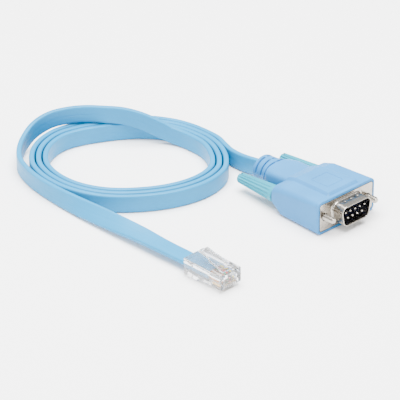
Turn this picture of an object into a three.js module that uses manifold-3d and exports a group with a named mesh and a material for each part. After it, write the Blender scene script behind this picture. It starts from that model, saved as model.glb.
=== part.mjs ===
// A console cable: a nine-way D connector with a moulded hood and two thumbscrews, about a metre of flat
// eight-wire cable lying in a loose coil, and a clear eight-way modular plug. Millimetres, +Z up.
// The mating face of the D connector looks along -Y, its pin rows run along X, and everything lies on z = 0.
import * as THREE from "three";
import { mergeVertices } from "three/addons/utils/BufferGeometryUtils.js";
import Module from "manifold-3d";

const wasm = await Module();
wasm.setup();

// Driving dimensions of the D connector
const GAP = 0.3;
const ROUND_SIDES = 20;
const SMALL_ROUND_SIDES = 12;
const AXIS_HEIGHT = 7.7;
const SCREW_SPACING = 24.99;
const FLANGE_SIDE = 2.905;
const FLANGE_WIDTH = SCREW_SPACING + 2 * FLANGE_SIDE;
const FLANGE_HEIGHT = 12.55;
const FLANGE_THICKNESS = 0.8;
const FLANGE_CORNER = 1.0;
const HOOD_RIM = 1.2;
const HOOD_WIDTH = FLANGE_WIDTH + 2 * HOOD_RIM;
const HOOD_LENGTH = 28.2;
const HOOD_EDGE_RADIUS = 2.2;
const HOOD_FRONT_HEIGHT = 15.5;
const HOOD_BREAK_HEIGHT = 13.9;
const HOOD_REAR_HEIGHT = 11.9;
const HOOD_REAR_CHAMFER_LENGTH = 5.9;
const HOOD_REAR_CHAMFER_HEIGHT = 4.1;
// The raised middle of the hood's top, whose front and sides slope.
const PLATEAU_RISE = 1.3;
const PLATEAU_FRONT = 1.6;
const PLATEAU_FRONT_WIDTH = 18.6;
const PLATEAU_REAR_WIDTH = 16.6;
const PLATEAU_BEVEL = 1.2;
const PLATEAU_ROOT_DEPTH = 2.0;
const PLATEAU_START_RISE = 0.02;
const PLATEAU_REAR_RISE = 1.2;
const CURVE_POINTS = 6;
const SAME_POINT = 1e-6;
// The boot round the cable, as stations: distance from the flange, half width, half height, height of its middle,
// and a power that makes it an ellipse at 2 and squarer above.
const BOOT = [
  [20.0, 8.4, 4.9, 8.0, 5.0],
  [28.2, 8.4, 5.55, 7.6, 5.0],
  [36.0, 8.4, 5.6, 7.1, 5.0],
  [40.0, 8.0, 5.7, 6.6, 3.6],
  [42.0, 7.2, 5.8, 6.5, 2.6],
  [44.5, 6.4, 5.8, 6.4, 2.1],
  [49.6, 6.2, 5.7, 6.2, 2.0],
  [50.3, 5.6, 5.1, 6.2, 2.0],
];
const BOOT_SIDES = 32;
const BOOT_SLOT_COUNT = 3;
const BOOT_SLOT_PITCH = 3.2;
const BOOT_SLOT_WIDTH = 0.9;
const BOOT_SLOT_DEPTH = 0.9;
const BOOT_SLOT_LAST = 48.0;
const BOOT_SLOT_INNER = 0.5;
const BOOT_SOCKET_DEPTH = 0.8;
const CABLE_EXIT_HEIGHT = 5.0;
const DEE_WIDTH = 17.9;
const DEE_HEIGHT = 9.5;
const DEE_CORNER = 2.8;
const DEE_SIDE_ANGLE = 10;
const DEE_WALL = 0.5;
const DEE_PROJECTION = 6.2;
const INSULATOR_FRONT = 1.0;
const INSULATOR_BACK = 3.0;
const PIN_RADIUS = 0.5;
const PIN_TIP_RADIUS = 0.28;
const PIN_TIP_LENGTH = 0.6;
const PIN_TIP_FLAT = 0.1;
const PIN_PROJECTION = 5.5;
const PIN_PITCH = 2.77;
const ROW_SPACING = 2.84;
const LONG_ROW = 5;
const SHORT_ROW = 4;
const SCREW_RADIUS = 1.4;
const SCREW_PROJECTION = 5.4;
const SCREW_CLEARANCE = 0.35;
const SCREW_TIP = 0.5;
const SCREW_END = 44.8;
// The thumbscrews lie loose in their holes, so they lean down towards their handles.
const SCREW_LEAN = 2.5;
const KNOB_START = 28.8;
const KNOB_END = 50.8;
const KNOB_ROOT_RADIUS = 3.75;
const KNOB_TIP_RADIUS = 2.3;
const KNOB_NOSE = 0.6;
const KNOB_ROOT_BREAK = 0.3;
const KNOB_ROOT_BREAK_LENGTH = 0.4;
const KNOB_FLUTES = 12;
const KNOB_FLUTE_DEPTH = 0.28;
const STEPS_PER_FLUTE = 4;
const KNOB_SLOT_WIDTH = 1.1;
const KNOB_SLOT_DEPTH = 1.6;

// Driving dimensions of the flat cable and its loose coil
const CABLE_WIDTH = 8.0;
const CABLE_THICKNESS = 2.3;
const CABLE_EDGE = 0.6;
const STRANDS = 3;
const COIL_STEPS_PER_STATION = 4;
const LEAD_STEP = 5.5;

// Driving dimensions of the modular plug
const PLUG_WIDTH = 11.68;
const PLUG_LENGTH = 21.46;
const PLUG_TOP = 8.0;
const PLUG_FRONT_BOTTOM = 1.2;
const PLUG_STEP = 13.9;
const PLUG_NOSE_CHAMFER = 0.5;
const PLUG_STEP_SLOPE = 0.8;
const PLUG_TURN = 2;
const PLUG_NOSE = [-71.3, -5.5];
const PLUG_CAVITY_DEPTH = 13.4;
const PLUG_CAVITY_BOTTOM = 2.1;
const PLUG_CAVITY_TOP = 5.2;
const PLUG_CAVITY_CLEARANCE = 0.6;
const WIRE_SLOT_DEPTH = 19.4;
const WIRE_SLOT_BOTTOM = 3.4;
const WIRE_SLOT_TOP = 4.9;
const WIRE_SLOT_CLEARANCE = 0.1;
const WIRE_RADIUS = 0.42;
const WIRES = 8;
const WIRE_PITCH = 1.02;
const CONTACT_THICKNESS = 0.32;
const CONTACT_SLOT = 0.72;
const CONTACT_LENGTH = 5.2;
const CONTACT_FRONT = 0.7;
const CONTACT_BOTTOM = 1.75;
const CONTACT_TOP = 3.1;
const CONTACT_CHAMFER = 0.4;
const LATCH_WIDTH = 6.2;
const LATCH_TIP_WIDTH = 5.0;
const LATCH_THICKNESS = 1.0;
const LATCH_ROOT = 1.4;
const LATCH_TIP = 15.8;
const LATCH_RISE = 3.4;
const LATCH_ROOT_LENGTH = 3.0;
const LATCH_ROOT_GAP = 0.35;
// A cutting solid runs this far past what it cuts.
const PAST = 1;
// Distance of the plug's last point on the cable's path behind the plug.
const PLUG_STRAIGHT = 6;
// Stations before and after the crossing where the two leads meet the coil.
const LEAD_JOIN = 0.12;

// The innermost turn of the coil as it lies, from the crossing at its right end round by the back, the left end
// and the front: the place of its middle line, and how far apart the turns lie there.
const TURN = [
  [-5.0, 88.5, 2.5],
  [-6.8, 100.3, 2.5],
  [-15.2, 112.0, 2.9],
  [-29.0, 121.6, 2.9],
  [-44.2, 127.2, 2.95],
  [-57.0, 123.6, 2.95],
  [-66.2, 114.0, 2.9],
  [-69.4, 101.0, 2.7],
  [-67.8, 89.5, 2.7],
  [-62.4, 79.3, 2.9],
  [-53.5, 70.9, 2.95],
  [-41.8, 64.2, 2.95],
  [-28.6, 61.4, 2.95],
  [-16.6, 64.2, 2.95],
  [-8.9, 73.0, 2.9],
  [-5.5, 80.8, 2.6],
];
// Stations along the back over which each turn moves in by one place.
const SHIFT_END = 4;

// Middle line of the lead from the boot to the coil, and how far it is turned from standing on edge.
const BOOT_LEAD = [
  [0, 50.2, 5.0],
  [-0.2, 53.5, 4.75],
  [-0.8, 58.5, 4.3],
  [-1.2, 63.0, 4.1],
  [-1.0, 68.5, 4.1],
  [0.5, 74.0, 4.1],
  [2.4, 80.2, 4.05],
];
// Middle line of the plug's end of the cable: out of the coil, over the back of it, round its left end and forward.
const PLUG_LEAD = [
  [-5.6, 94.4, 4.1],
  [-7.9, 99.8, 5.2],
  [-11.7, 105.0, 8.0],
  [-16.4, 110.8, 10.9],
  [-21.0, 116.4, 12.4],
  [-25.9, 122.4, 12.5],
  [-31.6, 128.6, 12.45],
  [-38.4, 133.0, 12.3],
  [-45.2, 136.4, 11.2],
  [-52.4, 138.0, 8.6],
  [-59.6, 136.2, 6.0],
  [-66.4, 131.6, 4.6],
  [-71.6, 125.4, 4.05],
  [-75.0, 117.0, 4.05],
  [-77.0, 107.0, 4.05],
  [-77.6, 96.0, 4.05],
  [-77.3, 84.0, 4.05],
  [-76.2, 71.0, 4.1],
  [-75.0, 58.0, 4.1],
  [-73.9, 46.0, 4.1],
  [-73.2, 34.0, 3.85],
];
// The plug's end of the cable turns from on edge to flat between these distances before the plug.
const TWIST_START = 92;
const TWIST_END = 8;

const COLOURS = {
  hood: { color: 0x9cc8ee, roughness: 0.45, metalness: 0 },
  knob: { color: 0x7fc8d8, roughness: 0.4, metalness: 0 },
  cable: { color: 0x84bfe2, roughness: 0.45, metalness: 0 },
  nickel: { color: 0xc9c4bc, roughness: 0.22, metalness: 1 },
  insulator: { color: 0x15151c, roughness: 0.5, metalness: 0 },
  pin: { color: 0xe2dccb, roughness: 0.2, metalness: 1 },
  clear: { color: 0xe9ecef, roughness: 0.12, metalness: 0 },
  contact: { color: 0xd9b26a, roughness: 0.25, metalness: 1 },
};
const WIRE_COLOURS = [0xe8902e, 0xf2efe8, 0x7a4a2c, 0x3f9a5a, 0xd8443c, 0x2b2b2e, 0xe6cf3f, 0x3f6fc0];

// A closed geometry as a solid for joining and cutting.
function solid(geometry) {
  const bare = geometry.index ? geometry.toNonIndexed() : geometry.clone();
  bare.deleteAttribute("normal");
  bare.deleteAttribute("uv");
  const merged = mergeVertices(bare, 1e-4);
  return new wasm.Manifold(
    new wasm.Mesh({
      numProp: 3,
      vertProperties: merged.attributes.position.array,
      triVerts: new Uint32Array(merged.index.array),
    }),
  );
}

// A solid back as a geometry.
function geometryOf(body) {
  const mesh = body.getMesh();
  const geometry = new THREE.BufferGeometry();
  geometry.setAttribute("position", new THREE.BufferAttribute(mesh.vertProperties, 3));
  geometry.setIndex(new THREE.BufferAttribute(mesh.triVerts, 1));
  return geometry.toNonIndexed();
}

function named(name, geometry, look) {
  geometry.computeVertexNormals();
  const mesh = new THREE.Mesh(geometry, new THREE.MeshStandardMaterial(look));
  mesh.name = name;
  return mesh;
}

function block(low, high) {
  const size = high.map((value, i) => value - low[i]);
  const geometry = new THREE.BoxGeometry(...size);
  return geometry.translate(...low.map((value, i) => value + size[i] / 2));
}

function rod(radius, from, to, x, z, sides) {
  const geometry = new THREE.CylinderGeometry(radius, radius, to - from, sides);
  return geometry.translate(x, (from + to) / 2, z);
}

// A shape drawn in Y and Z, carried along X from low to high.
function alongX(shape, low, high) {
  const options = { depth: high - low, bevelEnabled: false, curveSegments: CURVE_POINTS };
  const geometry = new THREE.ExtrudeGeometry(shape, options);
  const turn = new THREE.Matrix4().makeBasis(
    new THREE.Vector3(0, 1, 0),
    new THREE.Vector3(0, 0, 1),
    new THREE.Vector3(1, 0, 0),
  );
  return geometry.applyMatrix4(turn).translate(low, 0, 0);
}

// A shape drawn in X and Z, carried along Y from low to high.
function alongY(shape, low, high) {
  const options = { depth: high - low, bevelEnabled: false, curveSegments: CURVE_POINTS };
  const geometry = new THREE.ExtrudeGeometry(shape, options);
  return geometry.rotateX(Math.PI / 2).translate(0, high, 0);
}

// A rectangle with round corners, from its low and high corners.
function roundRectangle(low, high, radius) {
  const shape = new THREE.Shape();
  shape.moveTo(low[0] + radius, low[1]);
  shape.lineTo(high[0] - radius, low[1]);
  shape.absarc(high[0] - radius, low[1] + radius, radius, -Math.PI / 2, 0);
  shape.lineTo(high[0], high[1] - radius);
  shape.absarc(high[0] - radius, high[1] - radius, radius, 0, Math.PI / 2);
  shape.lineTo(low[0] + radius, high[1]);
  shape.absarc(low[0] + radius, high[1] - radius, radius, Math.PI / 2, Math.PI);
  shape.lineTo(low[0], low[1] + radius);
  shape.absarc(low[0] + radius, low[1] + radius, radius, Math.PI, 1.5 * Math.PI);
  return shape;
}

function polygon(points) {
  return new THREE.Shape(points.map(([a, b]) => new THREE.Vector2(a, b)));
}

// The D outline, wider at the top, its sides leaning in, with round corners. It is inset by the given amount.
function deeShape(inset) {
  const halfHeight = DEE_HEIGHT / 2 - inset;
  const lean = Math.tan(THREE.MathUtils.degToRad(DEE_SIDE_ANGLE));
  const insetAlong = inset / Math.cos(THREE.MathUtils.degToRad(DEE_SIDE_ANGLE));
  const halfMiddle = DEE_WIDTH / 2 - (DEE_HEIGHT / 2) * lean - insetAlong;
  const radius = DEE_CORNER - inset;
  const corners = [
    [-halfMiddle + halfHeight * lean, -halfHeight],
    [halfMiddle - halfHeight * lean, -halfHeight],
    [halfMiddle + halfHeight * lean, halfHeight],
    [-halfMiddle - halfHeight * lean, halfHeight],
  ].map(([x, z]) => new THREE.Vector2(x, z + AXIS_HEIGHT));
  const shape = new THREE.Shape();
  corners.forEach((corner, i) => {
    const back = corners[(i + 3) % 4].clone().sub(corner).normalize();
    const ahead = corners[(i + 1) % 4].clone().sub(corner).normalize();
    const half = Math.acos(back.dot(ahead)) / 2;
    const reach = radius / Math.tan(half);
    const centre = back.clone().add(ahead).normalize().multiplyScalar(radius / Math.sin(half)).add(corner);
    const start = back.multiplyScalar(reach).add(corner).sub(centre);
    const end = ahead.multiplyScalar(reach).add(corner).sub(centre);
    shape.absarc(centre.x, centre.y, radius, start.angle(), end.angle());
  });
  return shape;
}

function pinPlaces() {
  const places = [];
  for (let i = 0; i < LONG_ROW; i++)
    places.push([(i - (LONG_ROW - 1) / 2) * PIN_PITCH, AXIS_HEIGHT + ROW_SPACING / 2]);
  for (let i = 0; i < SHORT_ROW; i++)
    places.push([(i - (SHORT_ROW - 1) / 2) * PIN_PITCH, AXIS_HEIGHT - ROW_SPACING / 2]);
  return places;
}

// A closed skin through rings of points, each with the same count, and a fan over each end ring.
function skin(rings) {
  const count = rings[0].length;
  const at = [];
  const put = (...points) => points.forEach((point) => at.push(...point));
  const middleOf = (ring) => [0, 1, 2].map((k) => ring.reduce((sum, point) => sum + point[k], 0) / count);
  const first = middleOf(rings[0]);
  const last = middleOf(rings[rings.length - 1]);
  for (let i = 0; i < count; i++) {
    const next = (i + 1) % count;
    put(first, rings[0][next], rings[0][i]);
    put(last, rings[rings.length - 1][i], rings[rings.length - 1][next]);
    for (let j = 0; j + 1 < rings.length; j++) {
      put(rings[j][i], rings[j][next], rings[j + 1][next]);
      put(rings[j][i], rings[j + 1][next], rings[j + 1][i]);
    }
  }
  const geometry = new THREE.BufferGeometry();
  geometry.setAttribute("position", new THREE.BufferAttribute(new Float32Array(at), 3));
  return geometry;
}

// A flat shape's outline as a ring of points that stands at a distance y. It goes round so that a skin built
// towards +Y faces out.
function ringAt(shape, y) {
  const all = shape.getPoints(CURVE_POINTS);
  const apart = (p, i) => p.distanceTo(all[(i + 1) % all.length]) > SAME_POINT;
  return all.filter(apart).reverse().map((p) => [p.x, y, p.y]);
}

const HOOD_BREAK = HOOD_LENGTH - HOOD_REAR_CHAMFER_LENGTH;

// The top falls slowly to the break, and faster behind it.
function hoodTop(y) {
  if (y < HOOD_BREAK) return THREE.MathUtils.mapLinear(y, 0, HOOD_BREAK, HOOD_FRONT_HEIGHT, HOOD_BREAK_HEIGHT);
  return THREE.MathUtils.mapLinear(y, HOOD_BREAK, HOOD_LENGTH, HOOD_BREAK_HEIGHT, HOOD_REAR_HEIGHT);
}

// The hood's block: round-edged sections whose top slopes down and whose underside rises at the rear.
function hoodBlock() {
  const stations = [
    [0, 0],
    [HOOD_BREAK, 0],
    [HOOD_LENGTH, HOOD_REAR_CHAMFER_HEIGHT],
  ];
  const half = HOOD_WIDTH / 2;
  const section = ([y, bottom]) => roundRectangle([-half, bottom], [half, hoodTop(y)], HOOD_EDGE_RADIUS);
  return skin(stations.map((station) => ringAt(section(station), station[0])));
}

// The raised middle of the top: it rises over its front bevel, and keeps its rise to the rear.
function plateau() {
  const section = (y, rise) => {
    const along = (y - PLATEAU_FRONT) / (HOOD_LENGTH - PLATEAU_FRONT);
    const half = THREE.MathUtils.lerp(PLATEAU_FRONT_WIDTH, PLATEAU_REAR_WIDTH, along) / 2;
    const base = hoodTop(y);
    const inner = half - PLATEAU_BEVEL * (rise / PLATEAU_RISE);
    const shape = polygon([
      [-half, base - PLATEAU_ROOT_DEPTH],
      [half, base - PLATEAU_ROOT_DEPTH],
      [half, base],
      [inner, base + rise],
      [-inner, base + rise],
      [-half, base],
    ]);
    return ringAt(shape, y);
  };
  return skin([
    section(PLATEAU_FRONT, PLATEAU_START_RISE),
    section(PLATEAU_FRONT + PLATEAU_BEVEL, PLATEAU_RISE),
    section(HOOD_BREAK, PLATEAU_RISE),
    section(HOOD_LENGTH, PLATEAU_REAR_RISE),
  ]);
}

// One section of the boot, drawn in by an inset.
function bootRing([y, halfWidth, halfHeight, height, power], inset) {
  const bent = (value) => Math.sign(value) * Math.abs(value) ** (2 / power);
  return Array.from({ length: BOOT_SIDES }, (_, i) => {
    const angle = (-2 * Math.PI * i) / BOOT_SIDES;
    return [
      (halfWidth - inset) * bent(Math.cos(angle)),
      y,
      height + (halfHeight - inset) * bent(Math.sin(angle)),
    ];
  });
}

// The boot's station at a distance from the flange, between the ones in its table.
function bootAt(y) {
  const next = BOOT.findIndex(([station]) => station >= y);
  const low = BOOT[next - 1];
  const share = (y - low[0]) / (BOOT[next][0] - low[0]);
  return low.map((value, k) => THREE.MathUtils.lerp(value, BOOT[next][k], share));
}

// The boot: its sections, with slots cut into each side from the spine along its top to its middle.
function boot() {
  let body = solid(skin(BOOT.map((station) => bootRing(station, 0))));
  for (let i = 0; i < BOOT_SLOT_COUNT; i++) {
    const middle = BOOT_SLOT_LAST - i * BOOT_SLOT_PITCH;
    const from = middle - BOOT_SLOT_WIDTH / 2;
    const to = middle + BOOT_SLOT_WIDTH / 2;
    const station = bootAt(middle);
    const [, halfWidth, halfHeight, height] = station;
    const ends = [from - PAST, to + PAST].map((y) => bootRing([y, ...station.slice(1)], BOOT_SLOT_DEPTH));
    const kept = solid(skin(ends));
    for (const side of [-1, 1]) {
      const across = [BOOT_SLOT_INNER * side, (halfWidth + PAST) * side].sort((a, b) => a - b);
      const slot = block([across[0], from, height], [across[1], to, height + halfHeight + PAST]);
      body = body.subtract(solid(slot).subtract(kept));
    }
  }
  return body;
}

// A straight round hole or rod about a thumbscrew's leaning axis.
function aboutScrew(geometry, side) {
  const lean = THREE.MathUtils.degToRad(SCREW_LEAN);
  return geometry.rotateX(-lean).translate((side * SCREW_SPACING) / 2, 0, AXIS_HEIGHT);
}

function screwHole(side) {
  const hole = rod(SCREW_RADIUS + SCREW_CLEARANCE, -2 * PAST, HOOD_LENGTH + 2 * PAST, 0, 0, ROUND_SIDES);
  return solid(aboutScrew(hole, side));
}

function hood() {
  let body = solid(hoodBlock()).add(solid(plateau())).add(boot());
  const pocket = roundRectangle(
    [-FLANGE_WIDTH / 2 - GAP, AXIS_HEIGHT - FLANGE_HEIGHT / 2 - GAP],
    [FLANGE_WIDTH / 2 + GAP, AXIS_HEIGHT + FLANGE_HEIGHT / 2 + GAP],
    FLANGE_CORNER + GAP,
  );
  body = body.subtract(solid(alongY(pocket, -PAST, FLANGE_THICKNESS + GAP)));
  body = body.subtract(solid(alongY(deeShape(0), -PAST, INSULATOR_BACK + GAP)));
  for (const side of [-1, 1]) body = body.subtract(screwHole(side));
  const socket = roundRectangle(
    [-CABLE_THICKNESS / 2 - GAP, CABLE_EXIT_HEIGHT - CABLE_WIDTH / 2 - GAP],
    [CABLE_THICKNESS / 2 + GAP, CABLE_EXIT_HEIGHT + CABLE_WIDTH / 2 + GAP],
    CABLE_EDGE,
  );
  const bootEnd = BOOT[BOOT.length - 1][0];
  body = body.subtract(solid(alongY(socket, bootEnd - BOOT_SOCKET_DEPTH, bootEnd + PAST)));
  return named("hood", geometryOf(body), COLOURS.hood);
}

function connectorShell() {
  const plate = roundRectangle(
    [-FLANGE_WIDTH / 2, AXIS_HEIGHT - FLANGE_HEIGHT / 2],
    [FLANGE_WIDTH / 2, AXIS_HEIGHT + FLANGE_HEIGHT / 2],
    FLANGE_CORNER,
  );
  let body = solid(alongY(plate, 0, FLANGE_THICKNESS));
  body = body.add(solid(alongY(deeShape(0), -DEE_PROJECTION, FLANGE_THICKNESS / 2)));
  body = body.subtract(solid(alongY(deeShape(DEE_WALL), -DEE_PROJECTION - PAST, FLANGE_THICKNESS + PAST)));
  for (const side of [-1, 1]) body = body.subtract(screwHole(side));
  return named("connector_shell", geometryOf(body), COLOURS.nickel);
}

function insulator() {
  let body = solid(alongY(deeShape(DEE_WALL + GAP), -INSULATOR_FRONT, INSULATOR_BACK));
  for (const [x, z] of pinPlaces())
    body = body.subtract(
      solid(rod(PIN_RADIUS + GAP, -INSULATOR_FRONT - PAST, INSULATOR_BACK + PAST, x, z, SMALL_ROUND_SIDES)),
    );
  return named("insulator", geometryOf(body), COLOURS.insulator);
}

// A turned profile of radius and distance along Y, closed on its axis.
function turned(profile, sides) {
  const points = profile.map(([radius, y]) => new THREE.Vector2(radius, y));
  return new THREE.LatheGeometry(points, sides);
}

function pins() {
  return pinPlaces().map(([x, z], i) => {
    const geometry = turned(
      [
        [0, -PIN_PROJECTION],
        [PIN_TIP_RADIUS, -PIN_PROJECTION + PIN_TIP_FLAT],
        [PIN_RADIUS, -PIN_PROJECTION + PIN_TIP_LENGTH],
        [PIN_RADIUS, INSULATOR_BACK],
        [0, INSULATOR_BACK],
      ],
      SMALL_ROUND_SIDES,
    ).translate(x, 0, z);
    return named(`pin_${i + 1}`, geometry, COLOURS.pin);
  });
}

// The fluted handle of a thumbscrew: a cone whose radius swells and shrinks round its axis, slotted at its end.
function knob(name, side) {
  const radiusAt = (y) =>
    THREE.MathUtils.mapLinear(y, KNOB_START, KNOB_END, KNOB_ROOT_RADIUS, KNOB_TIP_RADIUS);
  const profile = [
    [0, KNOB_START],
    [radiusAt(KNOB_START) - KNOB_ROOT_BREAK, KNOB_START],
    [radiusAt(KNOB_START), KNOB_START + KNOB_ROOT_BREAK_LENGTH],
    [radiusAt(KNOB_END - KNOB_NOSE), KNOB_END - KNOB_NOSE],
    [radiusAt(KNOB_END) - KNOB_NOSE, KNOB_END],
    [0, KNOB_END],
  ];
  const geometry = turned(profile, KNOB_FLUTES * STEPS_PER_FLUTE);
  const position = geometry.getAttribute("position");
  for (let i = 0; i < position.count; i++) {
    const radius = Math.hypot(position.getX(i), position.getZ(i));
    if (radius < 1e-6) continue;
    const angle = Math.atan2(position.getZ(i), position.getX(i));
    const swell = (Math.cos(KNOB_FLUTES * angle) - 1) / 2;
    const scale = (radius + swell * KNOB_FLUTE_DEPTH) / radius;
    position.setX(i, position.getX(i) * scale);
    position.setZ(i, position.getZ(i) * scale);
  }
  let body = solid(geometry);
  const half = KNOB_SLOT_WIDTH / 2;
  const across = KNOB_ROOT_RADIUS;
  const slot = block([-across, KNOB_END - KNOB_SLOT_DEPTH, -half], [across, KNOB_END + PAST, half]);
  body = body.subtract(solid(slot));
  body = body.subtract(solid(rod(SCREW_RADIUS + GAP, KNOB_START - PAST, SCREW_END, 0, 0, ROUND_SIDES)));
  return named(name, aboutScrew(geometryOf(body), side), COLOURS.knob);
}

function screw(name, side) {
  const geometry = turned(
    [
      [0, -SCREW_PROJECTION],
      [SCREW_RADIUS - SCREW_TIP, -SCREW_PROJECTION],
      [SCREW_RADIUS, -SCREW_PROJECTION + SCREW_TIP],
      [SCREW_RADIUS, SCREW_END - GAP],
      [0, SCREW_END - GAP],
    ],
    ROUND_SIDES,
  );
  return named(name, aboutScrew(geometry, side), COLOURS.nickel);
}

// The coil
const ring = new THREE.CatmullRomCurve3(
  TURN.map(([x, y]) => new THREE.Vector3(x, y, 0)),
  true,
);

function spacingAt(station) {
  const whole = Math.floor(station) % TURN.length;
  const next = (whole + 1) % TURN.length;
  return THREE.MathUtils.lerp(TURN[whole][2], TURN[next][2], station - Math.floor(station));
}

// A point beside the innermost turn, the given distance outward from it.
function besideRing(station, distance) {
  const t = (station / TURN.length) % 1;
  const place = ring.getPoint(t);
  const ahead = ring.getTangent(t);
  return new THREE.Vector2(place.x + ahead.y * distance, place.y - ahead.x * distance);
}

// How many places further out the turns lie at a station, on their way in along the back.
function shiftAt(station) {
  return Math.max(0, 1 - station / SHIFT_END);
}

function cableCoil() {
  const count = TURN.length * COIL_STEPS_PER_STATION;
  const outer = [];
  const inner = [];
  for (let i = 0; i <= count; i++) {
    const station = i / COIL_STEPS_PER_STATION;
    const spacing = spacingAt(station);
    const shift = shiftAt(station) * spacing;
    outer.push(besideRing(station, shift + (STRANDS - 1) * spacing + CABLE_THICKNESS / 2));
    inner.push(besideRing(station, shift - CABLE_THICKNESS / 2));
  }
  const shape = new THREE.Shape(outer);
  shape.holes.push(new THREE.Path(inner));
  return named(
    "cable_coil",
    new THREE.ExtrudeGeometry(shape, { depth: CABLE_WIDTH, bevelEnabled: false }),
    COLOURS.cable,
  );
}

// A curve whose section stands on edge, and leans over by an angle that depends on the way along it.
class Ribbon extends THREE.CatmullRomCurve3 {
  constructor(points, leanAt) {
    super(points);
    this.leanAt = leanAt;
  }

  computeFrenetFrames(segments) {
    const tangents = [];
    const normals = [];
    const binormals = [];
    for (let i = 0; i <= segments; i++) {
      const along = i / segments;
      const tangent = this.getTangentAt(along);
      const level = new THREE.Vector3(0, 0, 1).cross(tangent).normalize();
      const lean = this.leanAt(along * this.getLength());
      const across = level.applyAxisAngle(tangent, lean).normalize();
      tangents.push(tangent);
      normals.push(across);
      binormals.push(tangent.clone().cross(across));
    }
    return { tangents, normals, binormals };
  }
}

// The flat section: its thickness along the first direction, its width along the second.
function cableSection() {
  const a = CABLE_THICKNESS / 2;
  const b = CABLE_WIDTH / 2;
  const e = CABLE_EDGE;
  return polygon([
    [-a, -b + e],
    [-a + e, -b],
    [a - e, -b],
    [a, -b + e],
    [a, b - e],
    [a - e, b],
    [-a + e, b],
    [-a, b - e],
  ]);
}

function lead(name, points, leanAt) {
  const path = new Ribbon(points.map((p) => new THREE.Vector3(...p)), leanAt);
  const steps = Math.round(path.getLength() / LEAD_STEP);
  const geometry = new THREE.ExtrudeGeometry(cableSection(), { steps, extrudePath: path });
  return named(name, geometry, COLOURS.cable);
}

// A point of the plug, given from its nose: across, back from the nose, and up.
function plugPoint(x, y, z) {
  const turn = THREE.MathUtils.degToRad(PLUG_TURN);
  const c = Math.cos(turn);
  const s = Math.sin(turn);
  return [PLUG_NOSE[0] + c * x - s * y, PLUG_NOSE[1] + s * x + c * y, z];
}

function cableLeads() {
  const coilStart = besideRing(TURN.length - LEAD_JOIN, STRANDS * spacingAt(0));
  const bootLead = lead(
    "boot_lead",
    [...BOOT_LEAD, [coilStart.x, coilStart.y, CABLE_WIDTH / 2]],
    () => 0,
  );
  const leaving = besideRing(LEAD_JOIN, 0);
  const middle = (PLUG_CAVITY_BOTTOM + PLUG_CAVITY_TOP) / 2;
  const points = [
    [leaving.x, leaving.y, CABLE_WIDTH / 2],
    ...PLUG_LEAD,
    plugPoint(0, PLUG_LENGTH + PLUG_STRAIGHT, middle),
    plugPoint(0, PLUG_LENGTH - PLUG_CAVITY_DEPTH + GAP, middle),
  ];
  const total = new Ribbon(points.map((p) => new THREE.Vector3(...p)), () => 0).getLength();
  const flatAt = total - PLUG_CAVITY_DEPTH - TWIST_END;
  const leanAt = (along) =>
    (-Math.PI / 2) * THREE.MathUtils.smoothstep(along, flatAt - TWIST_START + TWIST_END, flatAt);
  return [bootLead, lead("plug_lead", points, leanAt)];
}

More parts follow.
